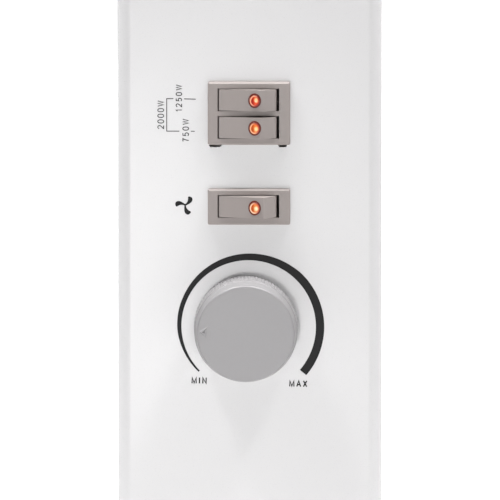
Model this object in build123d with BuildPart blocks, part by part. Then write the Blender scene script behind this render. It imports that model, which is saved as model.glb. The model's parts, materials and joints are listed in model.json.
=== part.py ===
from build123d import *
import os
import math

os.makedirs("parts", exist_ok=True)

# ---------------------------------------------------------------- main sizes
LENGTH = 520.0            # body, end cap to end cap
KNOB_OUT = 18.3           # knob front above the end face
XR = (LENGTH - KNOB_OUT) / 2   # control end face
XL = XR - LENGTH               # plain end face
XC = (XR + XL) / 2             # middle of the body
CAP_HALF = 52.5           # half depth of the body
CAP_Z0, CAP_Z1 = 39.0, 385.0
CAP_DEPTH = 32.0
CAP_WALL = 2.5
CAP_EDGE_R = 5.0
CAP_R_TOP, CAP_R_BOTTOM = 23.0, 9.0
SHEET = 0.8
CASE_IN = 1.0             # steel case sits this far inside the cap outline
CASE_X1 = XR - CAP_DEPTH
CASE_X0 = XL + CAP_DEPTH
SPIGOT = 10.0
FLANGE_IN = 32.0          # inner edge of the floor flanges
REAR_TOP = 352.0          # top edge of the rear panel
BULK_X1 = XC + 206.5      # bulkhead stations
BULK_X0 = XC - 206.5
FLOOR_T = 1.2
FLOOR_Z = CAP_Z0 + CASE_IN + SHEET        # 40.8
FLOOR_TOP = FLOOR_Z + FLOOR_T             # 42.0
FOOT_DX = 185.0
FOOT_W = 50.0

# control panel
Z_KNOB, Y_KNOB = 190.0, -1.5
Z_HEAT, Z_FAN = 276.3, 238.9
Y_BEZEL, Y_SW = -0.3, -0.55
BEZEL_T = 2.0
BEZEL_W = 32.8
HEAT_H, FAN_H = 24.4, 13.8
OPEN_HALF = 12.25
OPEN_H = 9.1
ROW_DZ = 5.55             # openings of the double switch above and below its middle
PIVOT_IN = 3.5            # rocker pivot behind the bezel front
PIVOT_X = XR + BEZEL_T - PIVOT_IN
ROCKER_ZH = 4.25
R_LEFT, R_RIGHT = 12.15, 11.55
RIDGE_Y = 6.05
HEAT_RIDGE, FAN_RIDGE = 2.7, 5.0
HOUSING_DEPTH = 22.0
LENS_Y = 2.5
LENS_RY, LENS_RZ = 2.55, 2.95

# fan
FAN_X, FAN_Y = XC, 0.0


def save(builder, name):
    builder.part.label = name
    export_step(builder.part, "parts/" + name + ".step")


def case_outline(x, inset):
    """Body section at station x, drawn in from the cap outline."""
    with BuildSketch(Plane.YZ.offset(x)) as s:
        with Locations((0, (CAP_Z0 + CAP_Z1) / 2)):
            Rectangle(2 * (CAP_HALF - inset), CAP_Z1 - CAP_Z0 - 2 * inset)
        fillet(s.vertices().group_by(Axis.Y)[-1], CAP_R_TOP - inset)
        fillet(s.vertices().group_by(Axis.Y)[0], CAP_R_BOTTOM - inset)
    return s.sketch


# ---------------------------------------------------------------- steel case
with BuildPart() as front_panel:
    extrude(case_outline(CASE_X0, CASE_IN), amount=CASE_X1 - CASE_X0)
    extrude(case_outline(CASE_X0 - 1, CASE_IN + SHEET), amount=CASE_X1 - CASE_X0 + 2, mode=Mode.SUBTRACT)
    # rear wall below the lap and the open floor
    with Locations((XC, 60, REAR_TOP - 170)):
        Box(LENGTH + 20, 40, 340, mode=Mode.SUBTRACT)
    with Locations((XC, 60 - (60 + FLANGE_IN) / 2, 38)):
        Box(LENGTH + 20, 60 + FLANGE_IN, 20, mode=Mode.SUBTRACT)
    # warm-air window
    with BuildSketch(Plane.XZ.offset(CAP_HALF + 5)):
        with Locations((XC, 324)):
            RectangleRounded(410, 64, 5)
    extrude(amount=-20, mode=Mode.SUBTRACT)
    # rear lap screw holes
    with BuildSketch(Plane.XZ.offset(-CAP_HALF - 5)):
        with Locations(*[(XC + dx, 357) for dx in (-150, 0, 150)]):
            Circle(2.1)
    extrude(amount=20, mode=Mode.SUBTRACT)
    # foot screw holes in the floor flange
    with BuildSketch(Plane.XY.offset(CAP_Z0 - 2)):
        with Locations((XC - FOOT_DX, -38), (XC + FOOT_DX, -38)):
            Circle(2.1)
    extrude(amount=8, mode=Mode.SUBTRACT)
save(front_panel, "front_panel")

with BuildPart() as rear_panel:
    extrude(case_outline(CASE_X0, CASE_IN), amount=CASE_X1 - CASE_X0)
    extrude(case_outline(CASE_X0 - 1, CASE_IN + SHEET), amount=CASE_X1 - CASE_X0 + 2, mode=Mode.SUBTRACT)
    with Locations((XC, 0, REAR_TOP + 50)):
        Box(LENGTH + 20, 200, 100, mode=Mode.SUBTRACT)
    with Locations((XC, FLANGE_IN - 60, 200)):
        Box(LENGTH + 20, 120, 400, mode=Mode.SUBTRACT)
    # three lap tabs behind the front panel's rear lip
    with Locations(*[(XC + dx, CAP_HALF - CASE_IN - 1.5 * SHEET, 353) for dx in (-150, 0, 150)]):
        Box(24, SHEET, 17)
    with BuildSketch(Plane.XZ.offset(-CAP_HALF - 5)):
        with Locations(*[(XC + dx, 357) for dx in (-150, 0, 150)]):
            Circle(1.5)
        # end cap screws
        with Locations(*[(x, z) for x in (CASE_X1 - 5, CASE_X0 + 5) for z in (100, 330)]):
            Circle(1.8)
        # intake slots
        with Locations((XC, 92)):
            with GridLocations(27, 13, 13, 5):
                SlotOverall(20, 4.4)
    extrude(amount=20, mode=Mode.SUBTRACT)
    with BuildSketch(Plane.XY.offset(CAP_Z0 - 2)):
        with Locations((XC - FOOT_DX, 38), (XC + FOOT_DX, 38)):
            Circle(2.1)
    extrude(amount=8, mode=Mode.SUBTRACT)
save(rear_panel, "rear_panel")

with BuildPart() as base_grille:
    with BuildSketch(Plane.XY.offset(FLOOR_Z)):
        with Locations((XC, 0)):
            Rectangle(BULK_X1 - BULK_X0 + 22, 86.8)
        with Locations(*[(XC + sx * FOOT_DX, sy * 38) for sx in (-1, 1) for sy in (-1, 1)]):
            Circle(2.0, mode=Mode.SUBTRACT)
        with Locations((XC - 128, 0), (XC + 128, 0)):
            with GridLocations(38, 9, 4, 7):
                SlotOverall(30, 4, mode=Mode.SUBTRACT)
        with Locations((FAN_X, FAN_Y)):
            with PolarLocations(22, 16):
                SlotOverall(18, 3.6, mode=Mode.SUBTRACT)
            with PolarLocations(43, 4, start_angle=45):
                Circle(1.5, mode=Mode.SUBTRACT)
    extrude(amount=FLOOR_T)
save(base_grille, "base_grille")


# ---------------------------------------------------------------- end caps
def cap_shell(face_x, s):
    """Moulded end shell with a spigot for the case and a recessed hand grip."""
    joint_x = face_x - s * CAP_DEPTH
    extrude(case_outline(joint_x, 0), amount=s * CAP_DEPTH)
    here = BuildPart._get_context()
    outer = here.faces().sort_by(Axis.X)[-1 if s > 0 else 0]
    fillet(outer.edges(), CAP_EDGE_R)
    extrude(case_outline(joint_x - s * SPIGOT, 2.1), amount=s * (SPIGOT + 0.5))
    extrude(case_outline(joint_x - s * (SPIGOT + 1), 4.1), amount=s * (SPIGOT + 4), mode=Mode.SUBTRACT)
    extrude(case_outline(joint_x + s * 2.5, CAP_WALL), amount=s * (CAP_DEPTH - 2.5 - CAP_WALL), mode=Mode.SUBTRACT)
    # hand grip pocket
    with BuildSketch(Plane.YZ.offset(face_x - s * 22.5)) as sk:
        with Locations((0, 350)):
            RectangleRounded(85, 33, 12)
    extrude(sk.sketch, amount=s * 20.2)
    with BuildSketch(Plane.YZ.offset(face_x - s * 20)) as sk:
        with Locations((0, 350)):
            RectangleRounded(80, 28, 9.5)
    extrude(sk.sketch, amount=s * 22, mode=Mode.SUBTRACT)
    mouth = here.edges().filter_by_position(Axis.X, face_x - 0.01, face_x + 0.01)
    mouth = mouth.filter_by_position(Axis.Z, 335, 365).filter_by_position(Axis.Y, -41, 41)
    fillet(mouth, 1.2)
    # screw posts behind the spigot's rear wall
    with Locations(*[Location((joint_x - s * 5, 0, z), (-90, 0, 0)) for z in (100, 330)]):
        with Locations((0, 0, 45.5)):
            Cylinder(4, 7)
        with Locations((0, 0, 47)):
            Cylinder(1.6, 12, mode=Mode.SUBTRACT)


with BuildPart() as left_end_cap:
    cap_shell(XL, -1)
save(left_end_cap, "left_end_cap")

HEAT_CUT_H, FAN_CUT_H, CUT_W = 22.0, 11.4, 30.2
with BuildPart() as right_end_cap:
    cap_shell(XR, 1)
    # thermostat posts
    with BuildSketch(Plane.YZ.offset(XR - CAP_WALL - 8)):
        with Locations((Y_KNOB, Z_KNOB - 17), (Y_KNOB, Z_KNOB + 17)):
            Circle(3.5)
    extrude(amount=8.2)
    with BuildSketch(Plane.YZ.offset(XR - CAP_WALL - 8)):
        with Locations((Y_KNOB, Z_KNOB - 17), (Y_KNOB, Z_KNOB + 17)):
            Circle(1.4)
    extrude(amount=7, mode=Mode.SUBTRACT)
    # switch cut-outs with relief notches, spindle hole
    with BuildSketch(Plane.YZ.offset(XR - 4)):
        with Locations((Y_BEZEL, Z_HEAT)):
            Rectangle(CUT_W, HEAT_CUT_H)
        for m, outer in ((-1, 16.1), (1, 14.7)):
            with BuildLine():
                Polyline((m * outer, Z_HEAT - 10.0), (m * outer, Z_HEAT - 13.4), (m * (outer - 0.4), Z_HEAT - 13.8), (m * 11.9, Z_HEAT - 13.8),
                         (m * 10.6, Z_HEAT - 12.6), (m * 10.2, Z_HEAT - 10.0), close=True)
            make_face()
        with Locations((Y_BEZEL, Z_FAN)):
            Rectangle(CUT_W, FAN_CUT_H)
        with Locations((Y_KNOB, Z_KNOB)):
            Circle(4.5)
    extrude(amount=6, mode=Mode.SUBTRACT)
    # cord hole low in the rear wall
    with Locations(Location((XR - 16, 50, 75), (-90, 0, 0))):
        Cylinder(6.1, 12, mode=Mode.SUBTRACT)
save(right_end_cap, "right_end_cap")

# ---------------------------------------------------------------- warm-air grille
GR_OUT = CAP_HALF - CASE_IN
with BuildPart() as outlet_grille:
    with BuildSketch(Plane.XZ.offset(GR_OUT)):
        with Locations((XC, 324)):
            RectangleRounded(420, 72, 7)
    extrude(amount=1.6)
    fillet(outlet_grille.faces().sort_by(Axis.Y)[0].edges(), 0.7)
    with BuildSketch(Plane.XZ.offset(GR_OUT + 0.2)):
        with Locations((XC, 324)):
            RectangleRounded(409.2, 63.2, 4.6)
    extrude(amount=-11.7)
    with BuildSketch(Plane.XZ.offset(GR_OUT + 2)):
        with Locations((XC, 324)):
            RectangleRounded(405.2, 59.2, 3)
    extrude(amount=-14, mode=Mode.SUBTRACT)
    # slanted louvres and upright ribs
    with BuildSketch(Plane.YZ.offset(XC - 203.6)):
        for k in range(6):
            zc = 324 - 25 + 10 * k
            with BuildLine():
                Polyline((-GR_OUT - 0.9, zc - 3.2), (-GR_OUT - 0.9, zc - 1.4), (-GR_OUT + 10.6, zc + 4.4),
                         (-GR_OUT + 10.6, zc + 2.6), close=True)
            make_face()
    extrude(amount=407.2)
    with Locations(*[(XC + dx, -GR_OUT + 6.5, 324) for dx in (-102, 0, 102)]):
        Box(2.4, 8, 60.4)
save(outlet_grille, "outlet_grille")


# ---------------------------------------------------------------- bulkheads and heat shields
BOARD_Z0, BOARD_Z1 = 116.0, 186.0
BOARD_T = 0.8
BOARD_HIGH_Y, BOARD_LOW_Y = -10.0, 10.0
TAB_Z, TAB_H = 151.0, 25.0
CUTOUT_Z = 250.0

def bulkhead(x0, wired):
    extrude(case_outline(x0, CASE_IN + SHEET), amount=SHEET)
    with Locations((x0, 0, FLOOR_TOP - 10)):
        Box(20, 200, 20, mode=Mode.SUBTRACT)
    with BuildSketch(Plane.YZ.offset(x0 - 1)) as sk:
        with Locations((BOARD_HIGH_Y, TAB_Z), (BOARD_LOW_Y, TAB_Z)):
            Rectangle(BOARD_T + 0.1, TAB_H + 0.1)
        if wired:
            with Locations((0, CUTOUT_Z)):
                Circle(7.7)
            with Locations((-10.5, CUTOUT_Z), (10.5, CUTOUT_Z)):
                Circle(1.4)
            with Locations((-26, 100), (26, 100)):
                Circle(6)
            with Locations((22, 78), (22, 62), (-8, 57), (-8, 75)):
                Circle(1.4)
    extrude(sk.sketch, amount=4, mode=Mode.SUBTRACT)


with BuildPart() as control_bulkhead:
    bulkhead(BULK_X1, True)
save(control_bulkhead, "control_bulkhead")
with BuildPart() as left_bulkhead:
    bulkhead(BULK_X0 - SHEET, False)
save(left_bulkhead, "left_bulkhead")

def heat_shield(m):
    with BuildSketch(Plane.YZ.offset(BULK_X0)) as sk:
        with BuildLine():
            Polyline((m * 40, 58), (m * 40, 270), (m * 45.5, 284))
        trace(line_width=0.5)
    extrude(sk.sketch, amount=BULK_X1 - BULK_X0)
    with BuildSketch(Plane.XZ.offset(-60)) as sk:
        with Locations((XC, 74)):
            with GridLocations(44, 20, 9, 1):
                SlotOverall(30, 8)
    extrude(sk.sketch, amount=120, mode=Mode.SUBTRACT)


with BuildPart() as front_heat_shield:
    heat_shield(-1)
save(front_heat_shield, "front_heat_shield")
with BuildPart() as rear_heat_shield:
    heat_shield(1)
save(rear_heat_shield, "rear_heat_shield")


# ---------------------------------------------------------------- heating elements
def mica_board(y):
    with Locations((XC, y, (BOARD_Z0 + BOARD_Z1) / 2)):
        Box(BULK_X1 - BULK_X0 - 2, BOARD_T, BOARD_Z1 - BOARD_Z0)
    with Locations((XC, y, TAB_Z)):
        Box(BULK_X1 - BULK_X0 + 4, BOARD_T, TAB_H)
    with BuildSketch(Plane.XZ.offset(-y - 5)) as sk:
        with Locations((XC, (BOARD_Z0 + BOARD_Z1) / 2)):
            with GridLocations(60, 1, 6, 1):
                SlotOverall(30, 4, rotation=90)
    extrude(sk.sketch, amount=10, mode=Mode.SUBTRACT)


def winding(y, out, pitch, turns):
    """Ribbon zigzag standing on the face of its board."""
    x_right = BULK_X1 - 12
    x_left = x_right - pitch * turns
    pts = [(x_right, 121), (x_left, 121), (x_left, 182)]
    x, top = x_left, True
    for k in range(turns):
        x = x_left + pitch * (k + 1)
        zz = 182 if top else 127
        pts.append((x, zz))
        if k < turns - 1:
            top = not top
            pts.append((x, 182 if top else 127))
    with BuildSketch(Plane.XZ.offset(-(y + out * BOARD_T / 2))) as sk:
        with BuildLine():
            Polyline(*pts)
        trace(line_width=0.9)
    extrude(sk.sketch, amount=-out * 0.9)


with BuildPart() as mica_board_high:
    mica_board(BOARD_HIGH_Y)
save(mica_board_high, "mica_board_high")
with BuildPart() as mica_board_low:
    mica_board(BOARD_LOW_Y)
save(mica_board_low, "mica_board_low")
with BuildPart() as heating_wire_high:
    winding(BOARD_HIGH_Y, -1, 7.6, 50)
save(heating_wire_high, "heating_wire_high")
with BuildPart() as heating_wire_low:
    winding(BOARD_LOW_Y, 1, 11.4, 33)
save(heating_wire_low, "heating_wire_low")

# steel tabs at the control end of both boards
with BuildPart() as element_terminals:
    for y, out in ((BOARD_HIGH_Y, -1), (BOARD_LOW_Y, 1)):
        for z in (121, 180):
            with Locations((BULK_X1 - 7, y + out * (BOARD_T / 2 + 0.4), z)):
                Box(10, 0.8, 6.3)
            with Locations(Location((BULK_X1 - 7, y + out * (BOARD_T / 2 + 1.2), z), (90, 0, 0))):
                Cylinder(1.6, 0.8)
save(element_terminals, "element_terminals")

with BuildPart() as thermal_cutout:
    with BuildSketch(Plane.YZ.offset(BULK_X1 - 4)):
        with Locations((0, CUTOUT_Z)):
            Circle(7.6)
    extrude(amount=11)
    with BuildSketch(Plane.YZ.offset(BULK_X1 + SHEET)):
        with Locations((0, CUTOUT_Z)):
            SlotOverall(29, 9)
            Circle(7.6)
            with Locations((-10.5, 0), (10.5, 0)):
                Circle(1.55, mode=Mode.SUBTRACT)
    extrude(amount=1.0)
    with Locations((BULK_X1 + 11, -4, CUTOUT_Z), (BULK_X1 + 11, 4, CUTOUT_Z)):
        Box(10, 0.8, 6.3)
save(thermal_cutout, "thermal_cutout")
# ---------------------------------------------------------------- thermostat
TX = XR - CAP_WALL - 8          # seat of the thermostat plate on its posts
with BuildPart() as thermostat_frame:
    with BuildSketch(Plane.YZ.offset(TX - 1.2)):
        with Locations((Y_KNOB, Z_KNOB - 8)):
            RectangleRounded(22, 62, 3)
        with Locations((Y_KNOB, Z_KNOB - 17), (Y_KNOB, Z_KNOB + 17)):
            Circle(1.7, mode=Mode.SUBTRACT)
    extrude(amount=1.2)
    with BuildSketch(Plane.YZ.offset(TX - 2.2)):
        with Locations((Y_KNOB, Z_KNOB)):
            Circle(6)
    extrude(amount=9.4)
    with BuildSketch(Plane.YZ.offset(TX)):
        with Locations((Y_KNOB, Z_KNOB)):
            Circle(4.1)
    extrude(amount=XR - TX + 0.2)
    with BuildSketch(Plane.YZ.offset(TX - 4)):
        with Locations((Y_KNOB, Z_KNOB)):
            Circle(3.06)
    extrude(amount=20, mode=Mode.SUBTRACT)
    # rivet of the blade stack
    with BuildSketch(Plane.YZ.offset(TX - 14.2)):
        with Locations((Y_KNOB, Z_KNOB - 30)):
            Circle(1.5)
    extrude(amount=13.2)
    with BuildSketch(Plane.YZ.offset(TX - 15.0)):
        with Locations((Y_KNOB, Z_KNOB - 30)):
            Circle(2.6)
    extrude(amount=0.8)
save(thermostat_frame, "thermostat_frame")


def stack_ring(x1, x0, r_out):
    with BuildSketch(Plane.YZ.offset(x0)) as sk:
        with Locations((Y_KNOB, Z_KNOB - 30)):
            Circle(r_out)
            Circle(1.55, mode=Mode.SUBTRACT)
    extrude(sk.sketch, amount=x1 - x0)


with BuildPart() as thermostat_insulators:
    stack_ring(TX - 1.2, TX - 4.2, 5)
    stack_ring(TX - 4.6, TX - 9.0, 5)
    stack_ring(TX - 9.8, TX - 14.2, 5)
save(thermostat_insulators, "thermostat_insulators")
with BuildPart() as thermostat_contact_spring:
    with BuildSketch(Plane.YZ.offset(TX - 4.6)):
        with Locations((Y_KNOB, Z_KNOB - 17)):
            SlotOverall(54, 9, rotation=90)
        with Locations((Y_KNOB, Z_KNOB - 46)):
            Rectangle(6.3, 12)
        with Locations((Y_KNOB, Z_KNOB - 30)):
            Circle(1.55, mode=Mode.SUBTRACT)
    extrude(amount=0.4)
    with BuildSketch(Plane.YZ.offset(TX - 5.8)):
        with Locations((Y_KNOB, Z_KNOB + 5)):
            Circle(2)
    extrude(amount=1.4)
save(thermostat_contact_spring, "thermostat_contact_spring")
with BuildPart() as thermostat_bimetal:
    with BuildSketch(Plane.YZ.offset(TX - 9.8)):
        with Locations((Y_KNOB, Z_KNOB - 13)):
            Rectangle(12, 46)
        with Locations((Y_KNOB, Z_KNOB - 42)):
            Rectangle(6.3, 20)
        with Locations((Y_KNOB, Z_KNOB - 30)):
            Circle(1.55, mode=Mode.SUBTRACT)
    extrude(amount=0.8)
    with BuildSketch(Plane.YZ.offset(TX - 9.2)):
        with Locations((Y_KNOB, Z_KNOB + 5)):
            Circle(2)
    extrude(amount=3.4)
save(thermostat_bimetal, "thermostat_bimetal")
with BuildPart() as thermostat_screws:
    with BuildSketch(Plane.YZ.offset(TX - 1.2)):
        with Locations((Y_KNOB, Z_KNOB - 17), (Y_KNOB, Z_KNOB + 17)):
            Circle(1.35)
    extrude(amount=7.5)
    with BuildSketch(Plane.YZ.offset(TX - 2.8)):
        with Locations((Y_KNOB, Z_KNOB - 17), (Y_KNOB, Z_KNOB + 17)):
            Circle(3)
            Rectangle(4, 0.9, mode=Mode.SUBTRACT)
    extrude(amount=1.6)
save(thermostat_screws, "thermostat_screws")

# spindle: round shaft with a flat for the knob, collar behind the bush
KNOB_BACK = XR + 0.6
KNOB_FACE = XR + KNOB_OUT - 0.3
with BuildPart() as thermostat_spindle:
    with BuildSketch(Plane.YZ.offset(TX - 3.8)):
        with Locations((Y_KNOB, Z_KNOB)):
            Circle(3.0)
    extrude(amount=KNOB_FACE - 2.6 - (TX - 3.8))
    with BuildSketch(Plane.YZ.offset(TX - 3.9)):
        with Locations((Y_KNOB, Z_KNOB)):
            Circle(4.4)
    extrude(amount=1.2)
    with Locations((XR + 6, Y_KNOB, Z_KNOB + 3.3)):
        Box(9, 8, 2, mode=Mode.SUBTRACT)
save(thermostat_spindle, "thermostat_spindle")

KNOB_R = 20.75
FLUTES = 90
with BuildPart() as control_knob:
    # plain skirt and bevelled crown about the spindle axis
    with BuildSketch(Plane(origin=(0, Y_KNOB, Z_KNOB), x_dir=(1, 0, 0), z_dir=(0, -1, 0))):
        with BuildLine():
            Polyline((KNOB_BACK, 0), (KNOB_BACK, KNOB_R), (XR + 10.9, KNOB_R - 0.2), (XR + 11.1, KNOB_R - 0.45), (KNOB_FACE - 0.75, 19.5))
            ThreePointArc((KNOB_FACE - 0.75, 19.5), (KNOB_FACE - 0.24, 19.26), (KNOB_FACE, 18.75))
            Polyline((KNOB_FACE, 18.75), (KNOB_FACE, 0), (KNOB_BACK, 0))
        make_face()
    revolve(axis=Axis((0, Y_KNOB, Z_KNOB), (1, 0, 0)), revolution_arc=360)
    # fine grip flutes round the skirt
    with BuildSketch(Plane.YZ.offset(KNOB_BACK - 1)):
        with Locations((Y_KNOB, Z_KNOB)):
            with PolarLocations(KNOB_R + 0.2, FLUTES):
                Circle(0.5)
    extrude(amount=XR + 10.4 - (KNOB_BACK - 1), mode=Mode.SUBTRACT)
    # hollow back with a hub for the spindle
    with BuildSketch(Plane.YZ.offset(KNOB_BACK - 1)):
        with Locations((Y_KNOB, Z_KNOB)):
            Circle(17.4)
            Circle(5.4, mode=Mode.SUBTRACT)
    extrude(amount=KNOB_FACE - 2.8 - (KNOB_BACK - 1), mode=Mode.SUBTRACT)
    with BuildSketch(Plane.YZ.offset(KNOB_BACK - 1)):
        with Locations((Y_KNOB, Z_KNOB)):
            Circle(3.04)
    extrude(amount=KNOB_FACE - 2.5 - (KNOB_BACK - 1), mode=Mode.SUBTRACT)
    with Locations((XR + 6.0, Y_KNOB, Z_KNOB + 2.85)):
        Box(4.0, 4, 1.0)
    # outlined pointer at the rim, standing just proud of the face, with sloping flanks inside and out
    tri = [(-18.35, 1.1), (-15.3, 2.95), (-16.1, -1.2)]
    mid = (-16.73, 0.895)
    inner_r = 1.015
    for r, x0, amount, slope, mode in (
        (1.4, KNOB_FACE - 0.2, 0.5, 50, Mode.ADD),
        (0.1, KNOB_FACE - 0.06, 0.5, -50, Mode.SUBTRACT),
    ):
        k = r / inner_r
        with BuildSketch(Plane.YZ.offset(x0)):
            with BuildLine():
                Polyline(*[(Y_KNOB + mid[0] + (y - mid[0]) * k, Z_KNOB + mid[1] + (z - mid[1]) * k) for y, z in tri], close=True)
            make_face()
        extrude(amount=amount, taper=slope, mode=mode)
save(control_knob, "control_knob")


# ---------------------------------------------------------------- switches
def housing(zc, bezel_h, rise, drop, cut_h, rows, chamfer_len):
    """Snap-in switch body: bezel outside, moulded box behind the panel."""
    with BuildSketch(Plane.YZ.offset(XR)) as sk:
        with Locations((Y_BEZEL, zc + (rise - drop) / 2)):
            RectangleRounded(BEZEL_W, bezel_h + rise + drop, 0.7)
    extrude(sk.sketch, amount=BEZEL_T)
    here = BuildPart._get_context()
    chamfer(here.faces().sort_by(Axis.X)[-1].edges(), chamfer_len)
    with BuildSketch(Plane.YZ.offset(XR - HOUSING_DEPTH)) as sk:
        with Locations((Y_BEZEL, zc)):
            Rectangle(CUT_W - 0.3, cut_h - 0.3)
    extrude(sk.sketch, amount=HOUSING_DEPTH)
    # snap lugs under the panel
    for m in (-1, 1):
        with BuildSketch(Plane.XY.offset(zc - 3)) as sk:
            with BuildLine():
                yb = Y_BEZEL + m * (CUT_W - 0.3) / 2
                Polyline((XR - CAP_WALL, yb - m * 0.1), (XR - CAP_WALL, yb + m * 0.9),
                         (XR - CAP_WALL - 5, yb - m * 0.1), close=True)
            make_face()
        extrude(sk.sketch, amount=6)
    for dz in rows:
        with BuildSketch(Plane.YZ.offset(XR + BEZEL_T + 1)) as sk:
            with Locations((Y_SW, zc + dz)):
                Rectangle(2 * OPEN_HALF, OPEN_H)
        extrude(sk.sketch, amount=-4, mode=Mode.SUBTRACT)
        with BuildSketch(Plane.YZ.offset(XR + BEZEL_T - 1.2)) as sk:
            with Locations((Y_SW, zc + dz)):
                Rectangle(26, OPEN_H)
        extrude(sk.sketch, amount=-(HOUSING_DEPTH - 1.0), mode=Mode.SUBTRACT)
        # pivot bores in the side walls
        with Locations((PIVOT_X, Y_SW, zc + dz)):
            Cylinder(1.25, OPEN_H + 1.7, mode=Mode.SUBTRACT)
        # slots for the blade terminals
        with BuildSketch(Plane.YZ.offset(XR - HOUSING_DEPTH - 1)) as sk:
            with Locations(*[(Y_SW + dy, zc + dz) for dy in (-9, 0, 9)]):
                Rectangle(0.8, 6.3)
        extrude(sk.sketch, amount=6, mode=Mode.SUBTRACT)


def rocker(zc, ridge):
    """Rocker shown with its left end pressed in; profile is about the pivot."""
    with BuildSketch(Plane(origin=(PIVOT_X, Y_SW, zc - ROCKER_ZH), x_dir=(0, 1, 0), z_dir=(0, 0, 1))) as sk:
        a = (-math.sqrt(R_LEFT ** 2 - PIVOT_IN ** 2), PIVOT_IN)
        b = (math.sqrt(R_RIGHT ** 2 - 4.1 ** 2), 4.1)
        a2 = (-R_LEFT * math.cos(math.radians(8)), -R_LEFT * math.sin(math.radians(8)))
        b2 = (R_RIGHT * math.cos(math.radians(8)), -R_RIGHT * math.sin(math.radians(8)))
        with BuildLine():
            # local x runs along +Y and local y points into the panel (-X), so heights are negated
            Polyline((a[0], -a[1]), (RIDGE_Y, -(PIVOT_IN + ridge)), (b[0], -b[1]))
            ThreePointArc((b[0], -b[1]), (R_RIGHT * math.cos(math.radians(6)), -R_RIGHT * math.sin(math.radians(6))), (b2[0], -b2[1]))
            Polyline((b2[0], -b2[1]), (7.5, 3.4), (3.2, 6.0), (-3.2, 6.0), (-7.5, 3.4), (a2[0], -a2[1]))
            ThreePointArc((a2[0], -a2[1]), (-R_LEFT * math.cos(math.radians(4)), -R_LEFT * math.sin(math.radians(4))), (a[0], -a[1]))
        make_face()
    extrude(sk.sketch, amount=2 * ROCKER_ZH)
    # trunnions
    with Locations((PIVOT_X, Y_SW, zc)):
        Cylinder(1.2, OPEN_H + 1.2)


def facet_plane(zc, ridge, along, lift):
    """Plane on the long facet at distance `along` from the pivot, normal to the facet."""
    y0 = -math.sqrt(R_LEFT ** 2 - PIVOT_IN ** 2)
    slope = ridge / (RIDGE_Y - y0)
    t = math.atan(slope)
    h = PIVOT_IN + (along - y0) * slope
    n = Vector(math.cos(t), -math.sin(t), 0)
    p = Vector(PIVOT_X + h, Y_SW + along, zc) + n * lift
    return Plane(origin=p, x_dir=(math.sin(t), math.cos(t), 0), z_dir=n)


def rocker_part(zc, ridge, soft):
    rocker(zc, ridge)
    here = BuildPart._get_context()
    ridge_edges = here.edges().filter_by(Axis.Z).sort_by(Axis.X)
    if soft > 0:
        fillet(ridge_edges[-1], soft)
    with BuildSketch(facet_plane(zc, ridge, LENS_Y, 1)) as sk:
        Ellipse(LENS_RY + 0.04, LENS_RZ + 0.04)
    extrude(sk.sketch, amount=-9.5, mode=Mode.SUBTRACT)


def lens_part(zc, ridge):
    """Domed light window set in the rocker."""
    with BuildSketch(facet_plane(zc, ridge, LENS_Y, -2.4)) as sk:
        Ellipse(LENS_RY, LENS_RZ)
    extrude(sk.sketch, amount=2.7)
    with BuildSketch(facet_plane(zc, ridge, LENS_Y, 0.3)) as low:
        Ellipse(LENS_RY, LENS_RZ)
    with BuildSketch(facet_plane(zc, ridge, LENS_Y, 0.8)) as mid:
        Ellipse(LENS_RY * 0.78, LENS_RZ * 0.78)
    with BuildSketch(facet_plane(zc, ridge, LENS_Y, 1.1)) as top:
        Ellipse(LENS_RY * 0.4, LENS_RZ * 0.4)
    loft([low.sketch, mid.sketch], ruled=True)
    loft([mid.sketch, top.sketch], ruled=True)


def lamp_part(zc, ridge):
    with BuildSketch(facet_plane(zc, ridge, LENS_Y, -8.0)) as sk:
        Circle(2.0)
    extrude(sk.sketch, amount=5.4)


def terminal_part(zc, rows):
    """Blade terminals: lamp feed, common in the middle, switched contact."""
    for dz in rows:
        for dy, tip in ((-9, XR - 17), (0, XR - 13.4), (9, XR - 14.0)):
            tail = XR - HOUSING_DEPTH - 10
            with Locations(((tip + tail) / 2, Y_SW + dy, zc + dz)):
                Box(tip - tail, 0.8, 6.3)


CONTACT_X = XR - 12.5
CONTACT_TILT = 4.0


def contact_part(zc):
    """Tilting contact blade inside the housing, drawn tilted towards the switched terminal."""
    t = math.radians(CONTACT_TILT)
    with BuildSketch(Plane(origin=(CONTACT_X, Y_SW, zc - 2.5), x_dir=(-math.sin(t), math.cos(t), 0), z_dir=(0, 0, 1))) as sk:
        with BuildLine():
            Polyline((-9, 0.5), (-2, -0.1), (0, 0.5), (2, -0.1), (9, 0.5), (9, -0.1), (2, -0.7), (0, -0.1), (-2, -0.7), (-9, -0.1), close=True)
        make_face()
    extrude(sk.sketch, amount=5)


with BuildPart() as heat_contact_upper:
    contact_part(Z_HEAT + ROW_DZ)
save(heat_contact_upper, "heat_contact_upper")
with BuildPart() as heat_contact_lower:
    contact_part(Z_HEAT - ROW_DZ)
save(heat_contact_lower, "heat_contact_lower")
with BuildPart() as fan_contact:
    contact_part(Z_FAN)
save(fan_contact, "fan_contact")

with BuildPart() as heat_switch_housing:
    housing(Z_HEAT, HEAT_H, 0.45, 0.5, HEAT_CUT_H, (ROW_DZ, -ROW_DZ), 0.65)
save(heat_switch_housing, "heat_switch_housing")
with BuildPart() as fan_switch_housing:
    housing(Z_FAN, FAN_H, 0.0, 0.6, FAN_CUT_H, (0,), 0.6)
save(fan_switch_housing, "fan_switch_housing")

with BuildPart() as heat_rocker_upper:
    rocker_part(Z_HEAT + ROW_DZ, HEAT_RIDGE, 6.0)
save(heat_rocker_upper, "heat_rocker_upper")
with BuildPart() as heat_rocker_lower:
    rocker_part(Z_HEAT - ROW_DZ, HEAT_RIDGE, 6.0)
save(heat_rocker_lower, "heat_rocker_lower")
with BuildPart() as fan_rocker:
    rocker_part(Z_FAN, FAN_RIDGE, 0.35)
save(fan_rocker, "fan_rocker")

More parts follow.
